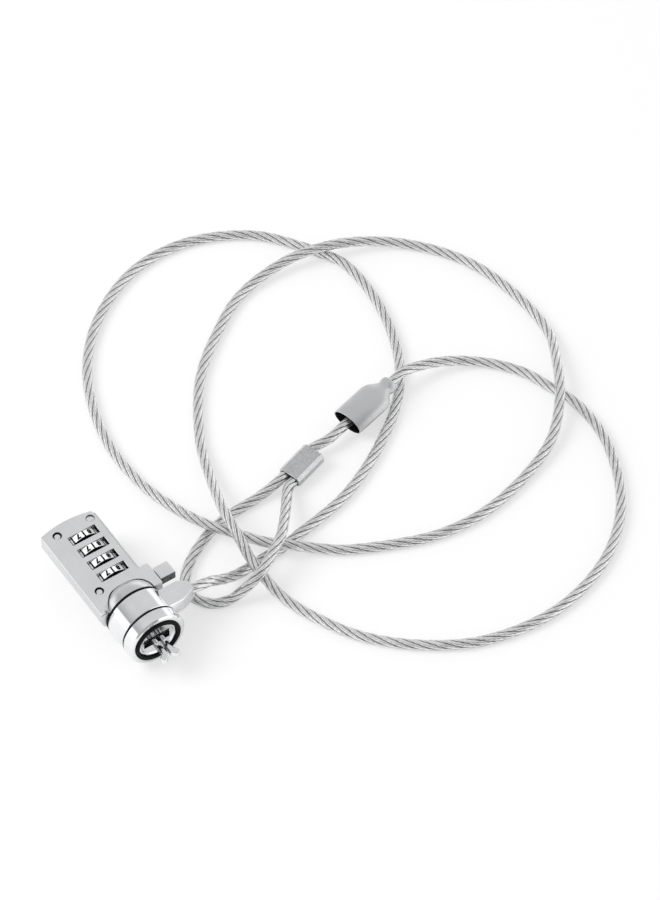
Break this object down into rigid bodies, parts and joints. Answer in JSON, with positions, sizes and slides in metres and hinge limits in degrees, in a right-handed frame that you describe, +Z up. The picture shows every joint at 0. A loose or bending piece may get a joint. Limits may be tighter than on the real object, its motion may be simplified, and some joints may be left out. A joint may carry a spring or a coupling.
{
  "type": "laptop cable lock",
  "caption": "Laptop cable lock: a number-dial lock head with a side lever and spreading hooks, turning in a collar on a long coated steel cable that is looped through its own eye.",
  "frame": {"origin": "on the floor under the middle of the lock head, measured without the cable", "axes": "+Z up, -Y towards the lock's nose and hooks, +X towards the cable's lug"},
  "size_m": [0.1888, 0.1945, 0.0198],
  "materials": {
    "satin_zinc": "satin, plated zinc casting",
    "plated_ferrule": "satin, plated",
    "polished_steel": "polished",
    "dark_steel": "dark, plain",
    "black_rubber": "matte",
    "coated_cable": "stranded steel under a clear glossy coat"
  },
  "bodies": {
    "cable_and_collar": {"cable_collar": "satin_zinc", "cable_anchor_pin": "polished_steel", "cable_end_plug": "polished_steel", "steel_cable": "coated_cable", "end_ferrule": "plated_ferrule"},
    "ferrule_cover_body": {"ferrule_cover": "plated_ferrule"},
    "lock_body": {"housing": "satin_zinc", "cover_plate": "satin_zinc", "rivet_rear_left": "polished_steel", "rivet_rear_right": "polished_steel", "rivet_front_left": "polished_steel", "shoulder_washer": "black_rubber", "nose_washer": "black_rubber", "barrel_tube": "polished_steel", "nose_cap": "satin_zinc", "face_ring": "black_rubber", "nose_plate": "polished_steel", "hook_carrier": "dark_steel", "hook_pin_left": "polished_steel", "hook_pin_right": "polished_steel", "detent_spring": "dark_steel", "return_spring": "polished_steel", "hook_spring": "dark_steel"},
    "lever_body": {"release_lever": "satin_zinc", "spindle": "polished_steel"},
    "hook_left_body": {"hook_left": "polished_steel"},
    "hook_right_body": {"hook_right": "polished_steel"},
    "code_screw_body": {"code_set_screw": "polished_steel"},
    "dial_1_body": {"dial_1": "satin_zinc", "code_sleeve_1": "polished_steel"},
    "dial_2_body": {"dial_2": "satin_zinc", "code_sleeve_2": "polished_steel"},
    "dial_3_body": {"dial_3": "satin_zinc", "code_sleeve_3": "polished_steel"},
    "dial_4_body": {"dial_4": "satin_zinc", "code_sleeve_4": "polished_steel"}
  },
  "joints": [
    {"name": "body_swivel", "type": "hinge", "parent": "cable_and_collar", "child": "lock_body", "pos_m": [-0.00325, -0.01252, 0.0099], "axis": [0, -1, 0], "continuous": true},
    {"name": "cover_slide", "type": "slide", "parent": "cable_and_collar", "child": "ferrule_cover_body", "axis": [-0.9705, -0.233, -0.0628], "range_m": [0, 0.0255]},
    {"name": "lever_slide", "type": "slide", "parent": "lock_body", "child": "lever_body", "axis": [0, -1, 0], "range_m": [0, 0.0024], "stiffness_N_per_m": 400, "springref_m": -0.002, "deforming": ["return_spring"]},
    {"name": "hook_left_turn", "type": "hinge", "parent": "lock_body", "child": "hook_left_body", "pos_m": [-0.00625, -0.01422, 0.0099], "axis": [0, 0, 1], "range_deg": [0, 1.5]},
    {"name": "hook_right_turn", "type": "hinge", "parent": "lock_body", "child": "hook_right_body", "pos_m": [-0.00025, -0.01422, 0.0099], "axis": [0, 0, 1], "range_deg": [-1.5, 0]},
    {"name": "code_screw_turn", "type": "hinge", "parent": "lock_body", "child": "code_screw_body", "pos_m": [-0.00325, 0.02817, 0.0099], "axis": [0, 1, 0], "range_deg": [0, 90]},
    {"name": "dial_1_turn", "type": "hinge", "parent": "lock_body", "child": "dial_1_body", "pos_m": [-0.00325, 0.02177, 0.0099], "axis": [0, -1, 0], "continuous": true},
    {"name": "dial_2_turn", "type": "hinge", "parent": "lock_body", "child": "dial_2_body", "pos_m": [-0.00325, 0.01617, 0.0099], "axis": [0, -1, 0], "continuous": true},
    {"name": "dial_3_turn", "type": "hinge", "parent": "lock_body", "child": "dial_3_body", "pos_m": [-0.00325, 0.01057, 0.0099], "axis": [0, -1, 0], "continuous": true},
    {"name": "dial_4_turn", "type": "hinge", "parent": "lock_body", "child": "dial_4_body", "pos_m": [-0.00325, 0.00498, 0.0099], "axis": [0, -1, 0], "continuous": true}
  ],
  "couplings": [
    {"joint": "hook_left_turn", "follows": "lever_slide", "rad_per_m": 10.9},
    {"joint": "hook_right_turn", "follows": "lever_slide", "rad_per_m": -10.9}
  ]
}
